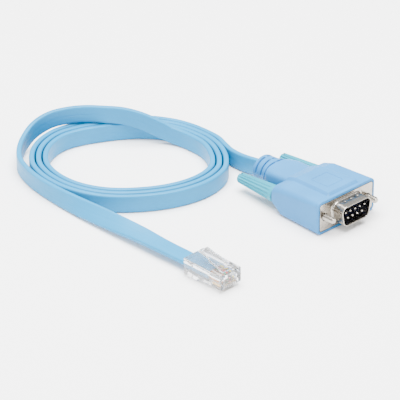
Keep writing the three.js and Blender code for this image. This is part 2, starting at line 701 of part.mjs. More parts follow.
// The plug
function plugBody() {
  const half = PLUG_WIDTH / 2;
  const c = PLUG_NOSE_CHAMFER;
  const side = polygon([
    [c, PLUG_FRONT_BOTTOM],
    [PLUG_STEP - PLUG_STEP_SLOPE, PLUG_FRONT_BOTTOM],
    [PLUG_STEP, 0],
    [PLUG_LENGTH, 0],
    [PLUG_LENGTH, PLUG_TOP],
    [c, PLUG_TOP],
    [0, PLUG_TOP - c],
    [0, PLUG_FRONT_BOTTOM + c],
  ]);
  let body = solid(alongX(side, -half, half));
  const rear = PLUG_LENGTH + PAST;
  const wide = CABLE_WIDTH / 2 + PLUG_CAVITY_CLEARANCE;
  body = body.subtract(
    solid(block([-wide, PLUG_LENGTH - PLUG_CAVITY_DEPTH, PLUG_CAVITY_BOTTOM], [wide, rear, PLUG_CAVITY_TOP])),
  );
  const wires = (WIRES * WIRE_PITCH) / 2 + WIRE_SLOT_CLEARANCE;
  body = body.subtract(
    solid(block([-wires, PLUG_LENGTH - WIRE_SLOT_DEPTH, WIRE_SLOT_BOTTOM], [wires, rear, WIRE_SLOT_TOP])),
  );
  for (let i = 0; i < WIRES; i++) {
    const x = (i - (WIRES - 1) / 2) * WIRE_PITCH;
    body = body.subtract(
      solid(
        block(
          [x - CONTACT_SLOT / 2, CONTACT_FRONT - GAP, PLUG_FRONT_BOTTOM - PAST],
          [x + CONTACT_SLOT / 2, CONTACT_FRONT + CONTACT_LENGTH + GAP, WIRE_SLOT_BOTTOM + WIRE_SLOT_CLEARANCE],
        ),
      ),
    );
  }
  const rootTop = PLUG_TOP + LATCH_THICKNESS / 2;
  const rise = polygon([
    [LATCH_ROOT, PLUG_TOP - LATCH_THICKNESS / 2],
    [LATCH_ROOT + LATCH_ROOT_LENGTH - LATCH_THICKNESS / 2, PLUG_TOP - LATCH_THICKNESS / 2],
    [LATCH_ROOT + LATCH_ROOT_LENGTH, PLUG_TOP + LATCH_ROOT_GAP],
    [LATCH_TIP, PLUG_TOP + LATCH_RISE],
    [LATCH_TIP, PLUG_TOP + LATCH_RISE + LATCH_THICKNESS],
    [LATCH_ROOT + LATCH_ROOT_LENGTH - LATCH_THICKNESS / 2, rootTop + LATCH_THICKNESS],
    [LATCH_ROOT, rootTop],
  ]);
  const outline = polygon([
    [-LATCH_WIDTH / 2, 0],
    [LATCH_WIDTH / 2, 0],
    [LATCH_WIDTH / 2, PLUG_LENGTH / 2],
    [LATCH_TIP_WIDTH / 2, PLUG_LENGTH / 2 + LATCH_THICKNESS],
    [LATCH_TIP_WIDTH / 2, PLUG_LENGTH],
    [-LATCH_TIP_WIDTH / 2, PLUG_LENGTH],
    [-LATCH_TIP_WIDTH / 2, PLUG_LENGTH / 2 + LATCH_THICKNESS],
    [-LATCH_WIDTH / 2, PLUG_LENGTH / 2],
  ]);
  const above = new THREE.ExtrudeGeometry(outline, { depth: PLUG_LENGTH, bevelEnabled: false });
  body = body.add(solid(alongX(rise, -half, half)).intersect(solid(above)));
  return named("plug_body", geometryOf(body), COLOURS.clear);
}

function plugContacts() {
  const list = [];
  for (let i = 0; i < WIRES; i++) {
    const x = (i - (WIRES - 1) / 2) * WIRE_PITCH;
    const blade = polygon([
      [CONTACT_FRONT, CONTACT_BOTTOM + CONTACT_CHAMFER],
      [CONTACT_FRONT + CONTACT_CHAMFER, CONTACT_BOTTOM],
      [CONTACT_FRONT + CONTACT_LENGTH, CONTACT_BOTTOM],
      [CONTACT_FRONT + CONTACT_LENGTH, CONTACT_TOP],
      [CONTACT_FRONT, CONTACT_TOP],
    ]);
    const geometry = alongX(blade, x - CONTACT_THICKNESS / 2, x + CONTACT_THICKNESS / 2);
    list.push(named(`contact_${i + 1}`, geometry, COLOURS.contact));
  }
  return list;
}

function plugWires() {
  const list = [];
  const front = PLUG_LENGTH - WIRE_SLOT_DEPTH + GAP;
  const back = PLUG_LENGTH - PLUG_CAVITY_DEPTH;
  for (let i = 0; i < WIRES; i++) {
    const x = (i - (WIRES - 1) / 2) * WIRE_PITCH;
    const z = (WIRE_SLOT_BOTTOM + WIRE_SLOT_TOP) / 2;
    const look = { color: WIRE_COLOURS[i], roughness: 0.45, metalness: 0 };
    list.push(named(`wire_${i + 1}`, rod(WIRE_RADIUS, front, back, x, z, SMALL_ROUND_SIDES), look));
  }
  return list;
}

// The finished part: the middle of the connector, without the cable, comes to the origin.
const group = new THREE.Group();
group.add(hood(), connectorShell(), insulator(), ...pins());
for (const [side, sign] of [
  ["left", -1],
  ["right", 1],
]) {
  group.add(knob(`${side}_knob`, sign), screw(`${side}_screw`, sign));
}
const connector = new THREE.Box3().setFromObject(group);
group.position.y = -(connector.min.y + connector.max.y) / 2;
group.add(cableCoil(), ...cableLeads());
const plug = new THREE.Group();
plug.position.set(PLUG_NOSE[0], PLUG_NOSE[1], 0);
plug.rotation.z = THREE.MathUtils.degToRad(PLUG_TURN);
plug.add(plugBody(), ...plugContacts(), ...plugWires());
group.add(plug);

export default group;
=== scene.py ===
"""Looks for a console cable: a nine-way D connector in a moulded hood with two thumbscrews, a flat eight-wire
cable lying in a loose coil, and a clear modular plug. Shapes are worked out in millimetres in the connector's own
frame, whose flange front is y = 0, and put into the part's frame, in metres, when their mesh is made."""

import math

import bpy
import numpy as np
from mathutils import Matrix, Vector


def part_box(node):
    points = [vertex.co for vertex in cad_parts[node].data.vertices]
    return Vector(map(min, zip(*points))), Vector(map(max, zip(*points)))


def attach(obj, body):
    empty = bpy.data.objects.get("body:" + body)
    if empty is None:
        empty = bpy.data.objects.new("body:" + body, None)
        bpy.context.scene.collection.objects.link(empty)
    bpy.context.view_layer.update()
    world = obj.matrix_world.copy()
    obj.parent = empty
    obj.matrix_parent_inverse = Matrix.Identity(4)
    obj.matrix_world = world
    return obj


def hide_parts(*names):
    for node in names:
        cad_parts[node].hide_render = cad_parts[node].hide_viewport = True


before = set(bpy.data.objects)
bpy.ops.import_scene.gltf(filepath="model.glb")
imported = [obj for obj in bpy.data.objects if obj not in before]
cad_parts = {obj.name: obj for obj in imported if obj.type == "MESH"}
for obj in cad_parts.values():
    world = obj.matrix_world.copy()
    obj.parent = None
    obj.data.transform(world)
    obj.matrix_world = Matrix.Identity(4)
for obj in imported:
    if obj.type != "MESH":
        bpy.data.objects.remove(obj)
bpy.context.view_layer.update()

MM = 0.001
TURN = 2 * math.pi
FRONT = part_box("hood")[0].y / MM

# The D connector
HOOD_HALF_WIDTH = 16.6
HOOD_TOP = ((0.0, 15.5), (22.3, 13.9), (28.2, 11.9))
HOOD_LENGTH = 28.2
HOOD_BOTTOM_BREAK = (22.3, 4.1)
HOOD_LOW_RADIUS = 2.2
HOOD_HIGH_RADII = (2.2, 3.4)
HOOD_FRONT_ROUND = 0.3
HOOD_REAR_ROUND = 1.0
PLATEAU_RISE = 1.25
PLATEAU_FRONT = (1.6, 2.8)
PLATEAU_HALF_WIDTHS = (9.3, 8.3)
PLATEAU_BEVEL = 1.2
PLATEAU_ROOT_RADIUS = 0.35
PLATEAU_BROW_RADIUS = 0.55
PANEL = (-4.5, 4.9, 6.6, 16.8)
PANEL_LINE = 0.3
PANEL_RELIEF = 0.1
PANEL_ROOT = 0.3
BOOT = (
    (24.0, 8.4, 5.2, 7.8, 5.0),
    (28.2, 8.4, 5.55, 7.6, 5.0),
    (32.0, 8.4, 5.58, 7.35, 5.0),
    (36.0, 8.4, 5.6, 7.1, 5.0),
    (40.0, 8.0, 5.7, 6.6, 3.6),
    (42.0, 7.2, 5.8, 6.5, 2.6),
    (44.5, 6.4, 5.8, 6.4, 2.1),
    (50.3, 6.2, 5.7, 6.2, 2.0),
)
BOOT_END = 50.3
BOOT_END_ROUND = 0.8
BOOT_SLOTS = (41.6, 44.8, 48.0)
BOOT_SLOT_WIDTH = 0.9
BOOT_SLOT_DEPTH = 0.9
BOOT_SPINE = 0.5
AXIS_HEIGHT = 7.7
FLANGE_HALF = (15.4, 6.275)
FLANGE_CORNER = 1.0
FLANGE_THICKNESS = 0.8
POCKET_GAP = 0.3
DEE_HALF_WIDTH = 8.95
DEE_HALF_HEIGHT = 4.75
DEE_CORNER = 2.8
DEE_SIDE_ANGLE = math.radians(10)
DEE_WALL = 0.5
DEE_PROJECTION = 6.2
DEE_ROOT_BEND = 1.0
DIMPLES_X = (-3.3, 0.35, 4.0)
DIMPLE_Y = -2.4
DIMPLE_DEPTH = 0.2
DIMPLE_SPREAD = 0.3
PINS = 9
PIN_TIP = 0.8
PIT_RADIUS = 0.8
PIT_DEPTH = 0.35
INSULATOR_FRONT = 1.0
INSULATOR_BACK = 3.0
SCREW_X = 12.495
SCREW_RADIUS = 1.4
SCREW_PROJECTION = 5.4
SCREW_LEAN = math.radians(2.5)
SCREW_BACK = 30.0
SCREW_HOLE_RADIUS = 1.7
THREAD_PITCH = 0.635
THREAD_DEPTH = 0.3
KNOB_START = 28.8
KNOB_END = 50.8
KNOB_RADII = (3.75, 2.3)
KNOB_FLUTES = 14
KNOB_FLUTE_DEPTH = 0.22
KNOB_END_ROUND = 0.5
KNOB_SLOT_WIDTH = 1.0
KNOB_SLOT_DEPTH = 1.4

# The cable
CABLE_WIDTH = 8.0
CABLE_THICKNESS = 2.3
CABLE_CORNER = 0.8
STRANDS = 3
SHIFT_END = 4
LEAD_JOIN = 0.12
TWIST_START = 92.0
TWIST_END = 8.0

# The plug, in its own frame: across, back from its nose, and up
PLUG_NOSE = (-71.3, -5.5)
PLUG_TURN = math.radians(2)
PLUG_HALF_WIDTH = 5.84
PLUG_LENGTH = 21.46
PLUG_TOP = 8.0
PLUG_FRONT_BOTTOM = 1.2
PLUG_STEP = (13.1, 13.9)
PLUG_CORNER = 0.45
PLUG_CAVITY_DEPTH = 13.4
PLUG_CAVITY = (2.1, 5.2)
PLUG_CAVITY_HALF_WIDTH = 4.6
WIRE_SLOT_DEPTH = 19.4
WIRE_SLOT = (3.4, 4.9)
WIRE_RADIUS = 0.42
WIRES = 8
WIRE_PITCH = 1.02
CONTACT_SLOT = 0.72
LATCH_HALF_WIDTHS = (3.1, 2.5)
LATCH_THICKNESS = 1.0
LATCH_ROOT = 1.4
LATCH_TIP = 15.8
LATCH_RISE = 3.4
LATCH_BOW = 0.35
CONTACT_FRONT = 0.1
CONTACT_BACK = 6.5
CONTACT_SLOT_BOTTOM = 0.2
WIRE_SLOT_GAP = 0.1
NOSE_CHAMFER = 0.4

# The cable's route, as in the part's source: the innermost turn (place and how far apart the turns lie there), the
# lead from the boot, and the lead to the plug.
COIL_TURN = [
    (-5.0, 88.5, 2.5),
    (-6.8, 100.3, 2.5),
    (-15.2, 112.0, 2.9),
    (-29.0, 121.6, 2.9),
    (-44.2, 127.2, 2.95),
    (-57.0, 123.6, 2.95),
    (-66.2, 114.0, 2.9),
    (-69.4, 101.0, 2.7),
    (-67.8, 89.5, 2.7),
    (-62.4, 79.3, 2.9),
    (-53.5, 70.9, 2.95),
    (-41.8, 64.2, 2.95),
    (-28.6, 61.4, 2.95),
    (-16.6, 64.2, 2.95),
    (-8.9, 73.0, 2.9),
    (-5.5, 80.8, 2.6),
]
BOOT_LEAD = [
    (0, 50.2, 5.0),
    (-0.2, 53.5, 4.75),
    (-0.8, 58.5, 4.3),
    (-1.2, 63.0, 4.1),
    (-1.0, 68.5, 4.1),
    (0.5, 74.0, 4.1),
    (2.4, 80.2, 4.05),
]
PLUG_LEAD = [
    (-5.6, 94.4, 4.1),
    (-7.9, 99.8, 5.2),
    (-11.7, 105.0, 8.0),
    (-16.4, 110.8, 10.9),
    (-21.0, 116.4, 12.4),
    (-25.9, 122.4, 12.5),
    (-31.6, 128.6, 12.45),
    (-38.4, 133.0, 12.3),
    (-45.2, 136.4, 11.2),
    (-52.4, 138.0, 8.6),
    (-59.6, 136.2, 6.0),
    (-66.4, 131.6, 4.6),
    (-71.6, 125.4, 4.05),
    (-75.0, 117.0, 4.05),
    (-77.0, 107.0, 4.05),
    (-77.6, 96.0, 4.05),
    (-77.3, 84.0, 4.05),
    (-76.2, 71.0, 4.1),
    (-75.0, 58.0, 4.1),
    (-73.9, 46.0, 4.1),
    (-73.2, 34.0, 3.85),
]
CABLE_IN_PLUG = 3.65
PLUG_STRAIGHT = 6.0


# Clearances that several pieces share
PAST = 1.0
WELL_FRONT = 0.5

# Colours, as the share of light that comes back
HOOD_BLUE = (0.029, 0.185, 0.419)
KNOB_TEAL = (0.012, 0.238, 0.327)
JACKET_BLUE = (0.008, 0.207, 0.415)
NICKEL_GREY = (0.353, 0.324, 0.284)
PIN_GREY = (0.5, 0.47, 0.42)
INSULATOR_DARK = (0.003, 0.005, 0.022)
CONTACT_GOLD = (0.694, 0.445, 0.144)
WIRE_COLOURS = {
    "orange": (232, 144, 46),
    "white": (242, 239, 232),
    "brown": (122, 74, 44),
    "green": (63, 154, 90),
    "red": (216, 68, 60),
    "black": (43, 43, 46),
    "yellow": (230, 207, 63),
    "blue": (63, 111, 192),
}


# --- camera, floor and light ---


def camera():
    """A long lens from the front left, thirty degrees above the floor."""
    data = bpy.data.cameras.new("camera")
    data.sensor_width = 36
    data.lens = 298.66
    data.shift_x = -0.0022
    data.shift_y = 0.0007
    data.clip_end = 20
    target = Vector((-0.03145, 0.05494 + FRONT * MM, 0.0))
    azimuth = math.radians(43.08)
    elevation = math.radians(30.0)
    away = Vector((-math.sin(azimuth), -math.cos(azimuth), 0)) * math.cos(elevation)
    away.z = math.sin(elevation)
    holder = bpy.data.objects.new("camera", data)
    holder.location = target + away * 1.40068
    holder.rotation_euler = (-away).to_track_quat("-Z", "Y").to_euler()
    bpy.context.scene.collection.objects.link(holder)
    bpy.context.scene.camera = holder


def area_light(name, place, target, size, power, colour):
    """A rectangular light at a place, turned towards a target."""
    data = bpy.data.lights.new(name, "AREA")
    data.shape = "RECTANGLE"
    data.size, data.size_y = size
    data.energy = power
    data.color = colour
    lamp = bpy.data.objects.new(name, data)
    lamp.location = place
    lamp.rotation_euler = (Vector(place) - Vector(target)).to_track_quat("Z", "Y").to_euler()
    bpy.context.scene.collection.objects.link(lamp)


def studio():
    """A white floor, a bright even sky, a large soft light overhead and a weaker one from the left."""
    mesh = bpy.data.meshes.new("floor")
    reach = 3.0
    corners = [(-reach, -reach, 0), (reach, -reach, 0), (reach, reach, 0), (-reach, reach, 0)]
    mesh.from_pydata(corners, [], [(0, 1, 2, 3)])
    floor = bpy.data.objects.new("floor", mesh)
    floor.location.z = -0.0002
    bpy.context.scene.collection.objects.link(floor)
    paint = bpy.data.materials.new("floor_paper")
    paint.use_nodes = True
    shader = paint.node_tree.nodes["Principled BSDF"]
    shader.inputs["Base Color"].default_value = (0.93, 0.93, 0.93, 1)
    shader.inputs["Roughness"].default_value = 0.7
    shader.inputs["Specular IOR Level"].default_value = 0.2
    mesh.materials.append(paint)

    world = bpy.data.worlds.new("studio")
    world.use_nodes = True
    world.node_tree.nodes["Background"].inputs["Color"].default_value = (1, 1, 1, 1)
    world.node_tree.nodes["Background"].inputs["Strength"].default_value = 1.15
    bpy.context.scene.world = world
    middle = (-0.03, 0.03, 0)
    area_light("overhead", (0.0, 0.05, 0.95), middle, (0.9, 0.9), 60, (1, 1, 1))
    area_light("left", (-0.9, -0.1, 0.55), middle, (0.5, 0.5), 6, (1, 1, 1))


# --- surfaces ---


def grid(rows, close_rows=False):
    """A surface through an array of points, rows by columns, whose columns close up. Each four neighbours make a
    face."""
    n, m = rows.shape[:2]
    index = np.arange(n * m).reshape(n, m)
    index = np.concatenate([index, index[:, :1]], 1)
    if close_rows:
        index = np.concatenate([index, index[:1]], 0)
    quads = np.stack([index[:-1, :-1], index[:-1, 1:], index[1:, 1:], index[1:, :-1]], -1).reshape(-1, 4)
    return rows.reshape(-1, 3), quads, np.zeros((0, 3), int)


def tube(rings):
    """A closed skin through rings of points, with a fan from each end ring to its middle."""
    points, quads, _ = grid(rings)
    n, m = rings.shape[:2]
    here = np.arange(m)
    after = (here + 1) % m
    first = np.stack([np.full(m, n * m), after, here], -1)
    last = np.stack([np.full(m, n * m + 1), (n - 1) * m + here, (n - 1) * m + after], -1)
    middles = np.stack([rings[0].mean(0), rings[-1].mean(0)])
    return np.concatenate([points, middles]), quads, np.concatenate([first, last])


def joined(surfaces):
    """Several surfaces as one: each one's corner numbers go on from the last one's."""
    starts = np.cumsum([0] + [len(points) for points, _, _ in surfaces])
    points = np.concatenate([s[0] for s in surfaces])
    quads = np.concatenate([s[1] + start for s, start in zip(surfaces, starts)])
    triangles = np.concatenate([s[2] + start for s, start in zip(surfaces, starts)])
    return points, quads, triangles


def faced_out(surface):
    """The same closed surface with its faces pointing out: they are turned where its signed volume is negative."""
    points, quads, triangles = surface
    all_triangles = np.concatenate([quads[:, :3], quads[:, [0, 2, 3]], triangles])
    a, b, c = (points[all_triangles[:, k]] for k in range(3))
    if (a * np.cross(b, c)).sum() < 0:
        return points, quads[:, ::-1], triangles[:, ::-1]
    return surface


def outline(corners, radius, arc=8, side=8):
    """A polygon's outline with round corners. Each corner is an arc about a centre on its bisector, and points are
    spread over the straight between two arcs. Corners go round anticlockwise and may be hollow; leading axes are
    rows, and the radius is one number or one for each corner."""
    corners = np.asarray(corners, float)
    before = np.roll(corners, 1, -2) - corners
    after = np.roll(corners, -1, -2) - corners
    before /= np.linalg.norm(before, axis=-1, keepdims=True)
    after /= np.linalg.norm(after, axis=-1, keepdims=True)
    half = np.arccos(np.clip((before * after).sum(-1), -1, 1)) / 2
    radius = np.broadcast_to(np.asarray(radius, float), half.shape)
    bisector = before + after
    bisector /= np.linalg.norm(bisector, axis=-1, keepdims=True)
    centre = corners + bisector * (radius / np.sin(half))[..., None]
    reach = (radius / np.tan(half))[..., None]
    start = corners + before * reach - centre
    end = corners + after * reach - centre
    from_angle = np.arctan2(start[..., 1], start[..., 0])
    sweep = (np.arctan2(end[..., 1], end[..., 0]) - from_angle + math.pi) % TURN - math.pi
    angle = from_angle[..., None] + sweep[..., None] * np.linspace(0, 1, arc)
    arcs = centre[..., None, :] + radius[..., None, None] * np.stack([np.cos(angle), np.sin(angle)], -1)
    share = np.linspace(0, 1, side + 2)[1:-1, None]
    leaving = arcs[..., -1, :][..., None, :]
    arriving = np.roll(arcs[..., 0, :], -1, -2)[..., None, :]
    points = np.concatenate([arcs, leaving * (1 - share) + arriving * share], -2)
    return points.reshape(*points.shape[:-3], -1, 2)


def drawn_in(flat, inset):
    """The same outlines with every point moved inwards, along its normal, by an inset for each row."""
    ahead = np.roll(flat, -1, -2) - np.roll(flat, 1, -2)
    ahead /= np.linalg.norm(ahead, axis=-1, keepdims=True)
    inwards = np.stack([-ahead[..., 1], ahead[..., 0]], -1)
    return flat + inwards * np.asarray(inset, float)[..., None, None]


def box_corners(low_x, high_x, low_z, high_z):
    """The four corners of a rectangle, anticlockwise, for one row or for an array of rows."""
    low_x, high_x, low_z, high_z = np.broadcast_arrays(low_x, high_x, low_z, high_z)
    return np.stack(
        [
            np.stack([low_x, low_z], -1),
            np.stack([high_x, low_z], -1),
            np.stack([high_x, high_z], -1),
            np.stack([low_x, high_z], -1),
        ],
        -2,
    )


def sections(flat, y):
    """Outlines drawn in X and Z, each stood at its own distance y, as rings of points."""
    y = np.broadcast_to(np.asarray(y, float)[..., None], flat.shape[:-1])
    return np.stack([flat[..., 0], y, flat[..., 1]], -1)


def smooth(x, low, high):
    """Goes from 0 to 1 between low and high, level at both ends: three t squared less two t cubed."""
    t = np.clip((x - low) / (high - low), 0, 1)
    return t * t * (3 - 2 * t)


def round_end(radius, count=5):
    """A quarter round at an end: how far in from the skin, and how far back from the end, from face to side."""
    angle = np.linspace(0, math.pi / 2, count)
    return radius * (1 - np.sin(angle)), radius * (1 - np.cos(angle))


def lofted(flat, y):
    """A closed skin over outlines that stand at distances y."""
    return tube(sections(flat, y))


def about_screw(points, side):
    """Leans points about the X axis by the thumbscrews' lean, then moves them onto one thumbscrew's axis."""
    c, s = math.cos(SCREW_LEAN), math.sin(SCREW_LEAN)
    x, y, z = points[..., 0], points[..., 1], points[..., 2]
    return np.stack([x + side * SCREW_X, c * y + s * z, c * z - s * y + AXIS_HEIGHT], -1)


def turned(radii, y, sides=24, ripple=0.0, waves=0):
    """A profile of radius against y turned about the Y axis: r times (cosine, sine), where r swells and shrinks
    round the axis by ripple times the cosine of so many waves."""
    angle = np.arange(sides) * TURN / sides
    radii = np.asarray(radii, float)[:, None] + np.asarray(ripple, float)[..., None] * np.cos(waves * angle)
    y = np.broadcast_to(np.asarray(y, float)[:, None], radii.shape)
    return np.stack([radii * np.cos(angle), y, radii * np.sin(angle)], -1)


def in_part(points):
    """From the connector's frame in millimetres to the part's frame in metres."""
    return (points + (0, FRONT, 0)) * MM


def in_plug(points):
    """From the plug's own frame to the connector's: turned about its nose's middle."""
    c, s = math.cos(PLUG_TURN), math.sin(PLUG_TURN)
    x = PLUG_NOSE[0] + c * points[..., 0] - s * points[..., 1]
    y = PLUG_NOSE[1] + s * points[..., 0] + c * points[..., 1]
    return np.stack([x, y, points[..., 2]], -1)


def piece(name, surface, finish, body="cable_assembly", stands_for=(), crease=35, uv=None):
    """Makes a surface a piece that rides on a body. Edges sharper than crease stay sharp."""
    points, quads, triangles = faced_out(surface)
    mesh = bpy.data.meshes.new(name)
    mesh.from_pydata(in_part(points).tolist(), [], quads.tolist() + triangles.tolist())
    mesh.shade_smooth()
    mesh.set_sharp_from_angle(angle=math.radians(crease))
    if uv is not None:
        corner = np.zeros(len(mesh.loops), int)
        mesh.loops.foreach_get("vertex_index", corner)
        mesh.uv_layers.new(name="along").data.foreach_set("uv", uv[corner].ravel())
    mesh.materials.append(finish)
    made = bpy.data.objects.new(name, mesh)
    bpy.context.scene.collection.objects.link(made)
    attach(made, body)
    if stands_for:
        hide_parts(*stands_for)
    return made


def cut(made, name, surfaces):
    """Takes closed surfaces away from a piece, and keeps the result as its mesh."""
    points, quads, triangles = joined([faced_out(s) for s in surfaces])
    mesh = bpy.data.meshes.new(name)
    mesh.from_pydata(in_part(points).tolist(), [], quads.tolist() + triangles.tolist())
    tool = bpy.data.objects.new(name, mesh)
    bpy.context.scene.collection.objects.link(tool)
    boolean = made.modifiers.new("cut", "BOOLEAN")
    boolean.object = tool
    boolean.solver = "EXACT"
    boolean.use_self = True
    bpy.context.view_layer.update()
    result = bpy.data.meshes.new_from_object(made.evaluated_get(bpy.context.evaluated_depsgraph_get()))
    made.modifiers.clear()
    old = made.data
    result.name = old.name
    made.data = result
    bpy.data.meshes.remove(old)
    bpy.data.objects.remove(tool)
    bpy.data.meshes.remove(mesh)
    result.shade_smooth()
    result.set_sharp_from_angle(angle=math.radians(35))


# --- finishes ---


def finish_of(name, colour, roughness, metallic=0.0):
    """A material with a plain shader, and its node tree to build on."""
    made = bpy.data.materials.new(name)
    made.use_nodes = True
    shader = made.node_tree.nodes["Principled BSDF"]
    shader.inputs["Base Color"].default_value = (*colour, 1)
    shader.inputs["Roughness"].default_value = roughness
    shader.inputs["Metallic"].default_value = metallic
    return made, made.node_tree, shader


def linear(red, green, blue):
    """A colour given as 0 to 255 on a screen, as the light it stands for."""
    v = np.array([red, green, blue]) / 255
    return tuple(np.where(v <= 0.04045, v / 12.92, ((v + 0.055) / 1.055) ** 2.4).tolist())


def noise(tree, scale, detail):
    """A noise texture on the piece's own coordinates; scale is lumps per metre."""
    place = tree.nodes.new("ShaderNodeTexCoord")
    texture = tree.nodes.new("ShaderNodeTexNoise")
    texture.inputs["Scale"].default_value = scale
    texture.inputs["Detail"].default_value = detail
    tree.links.new(place.outputs["Object"], texture.inputs["Vector"])
    return texture


def ramp(tree, source, low, high, from_value, to_value):
    """Spreads a value that runs from low to high over from_value to to_value."""
    node = tree.nodes.new("ShaderNodeMapRange")
    node.inputs["From Min"].default_value = low
    node.inputs["From Max"].default_value = high
    node.inputs["To Min"].default_value = from_value
    node.inputs["To Max"].default_value = to_value
    tree.links.new(source, node.inputs["Value"])
    return node.outputs["Result"]


def tint(tree, factor, first, second):
    """A colour between first and second by factor."""
    node = tree.nodes.new("ShaderNodeMix")
    node.data_type = "RGBA"
    node.inputs["A"].default_value = (*first, 1)
    node.inputs["B"].default_value = (*second, 1)
    tree.links.new(factor, node.inputs["Factor"])
    return node.outputs["Result"]


def relief(tree, height, distance, strength, below=None):
    """Bump from a height, over an earlier bump where there is one."""
    node = tree.nodes.new("ShaderNodeBump")
    node.inputs["Distance"].default_value = distance
    node.inputs["Strength"].default_value = strength
    tree.links.new(height, node.inputs["Height"])
    if below is not None:
        tree.links.new(below, node.inputs["Normal"])
    return node.outputs["Normal"]


def moulded(name, colour, roughness, grain=5200):
    """Moulded plastic: a fine grain, a slow drift of colour and of gloss."""
    light = tuple(min(1, c * 1.05) for c in colour)
    dark = tuple(c * 0.94 for c in colour)
    made, tree, shader = finish_of(name, colour, roughness)
    drift = noise(tree, 90, 3).outputs["Fac"]
    tree.links.new(tint(tree, ramp(tree, drift, 0.3, 0.7, 0, 1), dark, light), shader.inputs["Base Color"])
    smear = noise(tree, 420, 4).outputs["Fac"]
    tree.links.new(ramp(tree, smear, 0.25, 0.75, roughness - 0.05, roughness + 0.07), shader.inputs["Roughness"])
    fine = noise(tree, grain, 2).outputs["Fac"]
    tree.links.new(relief(tree, fine, 0.00002, 0.5), shader.inputs["Normal"])
    shader.inputs["Specular IOR Level"].default_value = 0.15
    return made


def jacket():
    """The cable's jacket. Its UV map runs along and across, so that the wires' faint ribs and the die's fine lines
    follow it."""
    base = JACKET_BLUE
    made, tree, shader = finish_of("cable_jacket", base, 0.38)
    place = tree.nodes.new("ShaderNodeTexCoord")
    stretch = tree.nodes.new("ShaderNodeMapping")
    stretch.inputs["Scale"].default_value = (18, 1400, 1)
    tree.links.new(place.outputs["UV"], stretch.inputs["Vector"])
    lines = tree.nodes.new("ShaderNodeTexNoise")
    lines.inputs["Scale"].default_value = 1.0
    lines.inputs["Detail"].default_value = 2
    tree.links.new(stretch.outputs["Vector"], lines.inputs["Vector"])
    ribs = tree.nodes.new("ShaderNodeTexWave")
    ribs.wave_type = "BANDS"
    ribs.bands_direction = "Y"
    ribs.wave_profile = "SIN"
    ribs.inputs["Scale"].default_value = 1 / (20 * 0.000475)
    tree.links.new(place.outputs["UV"], ribs.inputs["Vector"])
    cloudy = noise(tree, 60, 3).outputs["Fac"]
    shade = tuple(c * 0.93 for c in base)
    pale = tuple(min(1, c * 1.05) for c in base)
    tree.links.new(tint(tree, ramp(tree, cloudy, 0.3, 0.7, 0, 1), shade, pale), shader.inputs["Base Color"])
    tree.links.new(ramp(tree, lines.outputs["Fac"], 0.3, 0.7, 0.32, 0.46), shader.inputs["Roughness"])
    ridged = relief(tree, ribs.outputs["Fac"], 0.00003, 0.25)
    tree.links.new(relief(tree, lines.outputs["Fac"], 0.00002, 0.35, ridged), shader.inputs["Normal"])
    shader.inputs["Specular IOR Level"].default_value = 0.18
    return made


def plated(name, colour, roughness):
    """Plated metal: bright, with a faint drawn grain and small stains that dull it."""
    made, tree, shader = finish_of(name, colour, roughness, 1.0)
    stain = noise(tree, 700, 5).outputs["Fac"]
    tree.links.new(ramp(tree, stain, 0.35, 0.75, roughness, roughness + 0.16), shader.inputs["Roughness"])
    dull = tuple(c * 0.82 for c in colour)
    tree.links.new(tint(tree, ramp(tree, stain, 0.4, 0.8, 0, 1), colour, dull), shader.inputs["Base Color"])
    fine = noise(tree, 2600, 3).outputs["Fac"]
    tree.links.new(relief(tree, fine, 0.00002, 0.3), shader.inputs["Normal"])
    return made


def clear():
    """Clear plastic that lets light through, with a slow waviness from its mould."""
    made, tree, shader = finish_of("clear_plastic", (0.97, 0.975, 0.985), 0.06)
    shader.inputs["Transmission Weight"].default_value = 0.96
    shader.inputs["IOR"].default_value = 1.5
    wave = noise(tree, 420, 2).outputs["Fac"]
    tree.links.new(relief(tree, wave, 0.0001, 0.18), shader.inputs["Normal"])
    smear = noise(tree, 900, 4).outputs["Fac"]
    tree.links.new(ramp(tree, smear, 0.3, 0.8, 0.03, 0.16), shader.inputs["Roughness"])
    return made


def clothe(name, finish):
    """Gives a CAD node a finish."""
    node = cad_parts[name]
    node.data.materials.clear()
    node.data.materials.append(finish)


# --- the cable ---


def curve_through(points, per_span, closed=False):
    """A centripetal Catmull-Rom curve: between two points, a cubic whose slopes come from the neighbours, each
    weighed by the square root of its distance. It passes through every point."""
    p = np.asarray(points, float)
    if closed:
        p0, p1, p2, p3 = (np.roll(p, k, 0) for k in (1, 0, -1, -2))
    else:
        ends = np.concatenate([[2 * p[0] - p[1]], p, [2 * p[-1] - p[-2]]])
        p0, p1, p2, p3 = ends[:-3], ends[1:-2], ends[2:-1], ends[3:]
    gaps = [np.sqrt(np.linalg.norm(b - a, axis=1))[:, None] for a, b in ((p0, p1), (p1, p2), (p2, p3))]
    d0, d1, d2 = gaps
    slope1 = ((p1 - p0) / d0 - (p2 - p0) / (d0 + d1) + (p2 - p1) / d1) * d1
    slope2 = ((p2 - p1) / d1 - (p3 - p1) / (d1 + d2) + (p3 - p2) / d2) * d1
    t = (np.arange(per_span) / per_span)[None, :, None]
    c2 = -3 * p1 + 3 * p2 - 2 * slope1 - slope2
    c3 = 2 * p1 - 2 * p2 + slope1 + slope2
    spans = p1[:, None] + slope1[:, None] * t + c2[:, None] * t**2 + c3[:, None] * t**3
    spans = spans.reshape(-1, p.shape[1])
    return spans if closed else np.concatenate([spans, p[-1:]])


